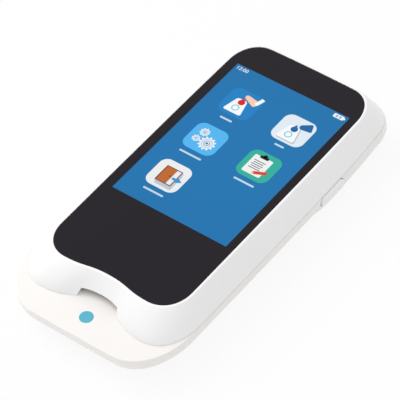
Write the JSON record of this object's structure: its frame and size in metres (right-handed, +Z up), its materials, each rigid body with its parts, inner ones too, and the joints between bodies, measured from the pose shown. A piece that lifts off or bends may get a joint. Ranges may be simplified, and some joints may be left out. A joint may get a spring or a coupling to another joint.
{
  "type": "coagulation meter",
  "caption": "Hand-held coagulation meter: white shell round black glass with a colour display, waved front edge over a strip slot, flat tongue with a blue mark, and a side button.",
  "frame": {"origin": "on the table, under the middle of the body", "axes": "+X to the user's right, +Y from the strip tongue to the back end, +Z up out of the display"},
  "size_m": [0.0702, 0.1485, 0.022],
  "materials": {
    "shell_white": "satin moulded plastic",
    "shell_grey": "satin moulded plastic, a little greyer",
    "button_white": "satin moulded plastic",
    "door_grey": "satin moulded plastic",
    "cover_glass": "polished, printed black behind",
    "display_glass": "polished",
    "adhesive": "foam tape",
    "backlight": "white sheets in a frame",
    "bracket": "moulded",
    "board": "green lacquer",
    "chip": "moulded",
    "connector": "moulded",
    "guide": "moulded",
    "flex": "polyimide film",
    "steel": "plated",
    "gold_contact": "gold plated springs",
    "heater": "ground",
    "mark_blue": "smooth",
    "battery": "foil pouch",
    "foot_rubber": "matt"
  },
  "bodies": {
    "housing": {"upper_housing": "shell_white", "lower_housing": "shell_grey", "cover_glass": "cover_glass", "glass_adhesive": "adhesive", "touch_sensor": "display_glass", "lcd_panel": "display_glass", "lcd_backlight": "backlight", "display_bracket": "bracket", "bracket_screws": "steel", "main_board": "board", "board_screws": "steel", "board_chips": "chip", "shield_can": "steel", "flex_connector": "connector", "display_flex": "flex", "strip_guide": "guide", "heater_plate": "heater", "heater_sensor": "chip", "strip_connector": "connector", "strip_contacts": "gold_contact", "sample_mark": "mark_blue", "battery_pack": "battery", "battery_terminal": "guide", "battery_blades": "gold_contact", "charging_socket": "steel", "beeper": "chip", "side_switch": "chip", "housing_screws": "steel", "rubber_feet": "foot_rubber"},
    "button": {"power_button": "button_white", "switch_plunger": "connector"},
    "door": {"battery_door": "door_grey"}
  },
  "joints": [
    {"name": "power_button_press", "type": "slide", "parent": "housing", "child": "button", "axis": [-1, 0, 0], "range_m": [0, 0.00035], "stiffness_N_per_m": 5000, "springref_m": -0.0001},
    {"name": "battery_door_slide", "type": "slide", "parent": "housing", "child": "door", "axis": [0, 1, 0], "range_m": [0, 0.005]}
  ]
}
